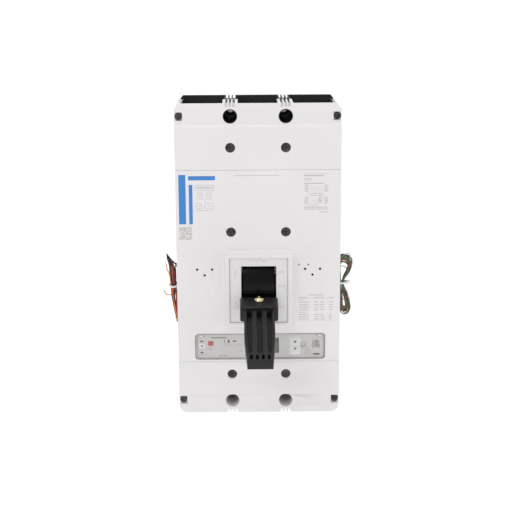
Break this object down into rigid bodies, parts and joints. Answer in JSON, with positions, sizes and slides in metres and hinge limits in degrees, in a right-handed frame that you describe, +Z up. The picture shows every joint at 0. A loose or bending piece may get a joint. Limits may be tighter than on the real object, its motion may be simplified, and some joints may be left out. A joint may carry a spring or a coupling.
{
  "type": "molded case circuit breaker",
  "caption": "Upright molded case circuit breaker with black base, pale front covers, toggle handle with ribbed lever extension, electronic trip unit and tied lead harnesses.",
  "frame": {"origin": "centre of the rear mounting face", "axes": "+Z up towards the line terminals, +Y out of the rear mounting face into the panel behind, +X to the right of someone facing the breaker"},
  "size_m": [0.2556, 0.2708, 0.4064],
  "materials": {
    "black_moulding": "fine textured thermoset",
    "pale_moulding": "satin light grey thermoset",
    "dark_steel": "blackened screw",
    "yellow_zinc": "yellow zinc plating",
    "plated_steel": "zinc plated",
    "spring_steel": "oiled spring wire",
    "copper": "tinned and bare copper",
    "copper_braid": "woven braid",
    "arc_board": "fibre board",
    "module_grey": "satin",
    "panel_grey": "printed label",
    "key_white": "satin",
    "red_button": "satin",
    "display_glass": "smooth",
    "clear_cover": "clear plastic",
    "lead_insulation_right": "thin wire insulation, green with brown and black",
    "lead_insulation_left": "thin wire insulation, black with red and orange",
    "white_nylon": "nylon"
  },
  "bodies": {
    "casing": {"base": "black_moulding", "trip_unit_housing": "black_moulding", "main_cover": "pale_moulding", "line_terminal_cover": "pale_moulding", "load_terminal_cover": "pale_moulding", "escutcheon": "pale_moulding", "line_cover_screw_left": "dark_steel", "line_cover_screw_right": "dark_steel", "main_cover_screw_left": "dark_steel", "main_cover_screw_right": "dark_steel", "load_cover_screw_left": "dark_steel", "load_cover_screw_right": "dark_steel", "line_corner_screw_left": "dark_steel", "line_corner_screw_right": "dark_steel", "load_corner_screw_left": "dark_steel", "load_corner_screw_right": "dark_steel", "mechanism_frame": "plated_steel", "operating_spring_left": "spring_steel", "operating_spring_right": "spring_steel", "line_conductor_left": "copper", "line_conductor_centre": "copper", "line_conductor_right": "copper", "load_conductor_left": "copper", "load_conductor_centre": "copper", "load_conductor_right": "copper", "shunt_left": "copper_braid", "shunt_centre": "copper_braid", "shunt_right": "copper_braid", "arc_chute_left": "arc_board", "arc_chute_centre": "arc_board", "arc_chute_right": "arc_board", "current_transformer_left": "module_grey", "current_transformer_centre": "module_grey", "current_transformer_right": "module_grey", "accessory_module_left": "module_grey", "accessory_module_right": "module_grey", "trip_unit_faceplate": "panel_grey", "display": "display_glass", "right_harness_lead": "lead_insulation_right", "right_harness_hank": "lead_insulation_right", "left_harness_lead": "lead_insulation_left", "left_harness_hank": "lead_insulation_left", "left_cable_tie": "white_nylon", "right_cable_tie": "white_nylon"},
    "handle": {"toggle_handle": "black_moulding", "handle_extension": "black_moulding", "extension_screw": "yellow_zinc"},
    "crossbar": {"crossbar": "black_moulding", "contact_arm_left": "copper", "contact_arm_centre": "copper", "contact_arm_right": "copper"},
    "upper_link": {"upper_toggle_link": "plated_steel"},
    "lower_link": {"lower_toggle_link": "plated_steel"},
    "cradle": {"cradle": "plated_steel"},
    "clear_cover": {"clear_cover": "clear_cover"},
    "trip_button": {"trip_button": "red_button"},
    "key_up": {"key_up": "key_white"},
    "key_down": {"key_down": "key_white"},
    "key_enter": {"key_enter": "panel_grey"},
    "trip_bar": {"trip_bar": "black_moulding"}
  },
  "joints": [
    {"name": "handle_turn", "type": "hinge", "parent": "casing", "child": "handle", "pos_m": [0, -0.0687, -0.033], "axis": [-1, 0, 0], "range_deg": [0, 33], "deforming": ["operating_spring_left", "operating_spring_right"]},
    {"name": "crossbar_turn", "type": "hinge", "parent": "casing", "child": "crossbar", "pos_m": [0, -0.04, -0.062], "axis": [-1, 0, 0], "range_deg": [0, 29.2], "deforming": ["shunt_left", "shunt_centre", "shunt_right"]},
    {"name": "upper_link_turn", "type": "hinge", "parent": "cradle", "child": "upper_link", "pos_m": [0, -0.095, -0.01], "axis": [1, 0, 0], "range_deg": [0, 43.7]},
    {"name": "lower_link_turn", "type": "hinge", "parent": "crossbar", "child": "lower_link", "pos_m": [0, -0.05589, -0.02529], "axis": [1, 0, 0], "range_deg": [0, 11.5]},
    {"name": "clear_cover_hinge", "type": "hinge", "parent": "casing", "child": "clear_cover", "pos_m": [0, -0.128, -0.129], "axis": [1, 0, 0], "range_deg": [0, 110]},
    {"name": "trip_button_push", "type": "slide", "parent": "casing", "child": "trip_button", "axis": [0, 1, 0], "range_m": [0, 0.0018], "stiffness_N_per_m": 800},
    {"name": "key_up_push", "type": "slide", "parent": "casing", "child": "key_up", "axis": [0, 1, 0], "range_m": [0, 0.0005], "stiffness_N_per_m": 1500},
    {"name": "key_down_push", "type": "slide", "parent": "casing", "child": "key_down", "axis": [0, 1, 0], "range_m": [0, 0.0005], "stiffness_N_per_m": 1500},
    {"name": "key_enter_push", "type": "slide", "parent": "casing", "child": "key_enter", "axis": [0, 1, 0], "range_m": [0, 0.0005], "stiffness_N_per_m": 1500},
    {"name": "trip_bar_turn", "type": "hinge", "parent": "casing", "child": "trip_bar", "pos_m": [0, -0.084, -0.086], "axis": [-1, 0, 0], "range_deg": [0, 6]},
    {"name": "cradle_release", "type": "hinge", "parent": "casing", "child": "cradle", "pos_m": [0, -0.084, 0.01], "axis": [-1, 0, 0], "range_deg": [0, 8]}
  ],
  "couplings": [
    {"joint": "crossbar_turn", "follows": "handle_turn", "ratio": 0.88485},
    {"joint": "upper_link_turn", "follows": "handle_turn", "ratio": 1.3242},
    {"joint": "lower_link_turn", "follows": "handle_turn", "ratio": 0.34848},
    {"joint": "trip_bar_turn", "follows": "trip_button_push", "rad_per_m": 58.177}
  ]
}
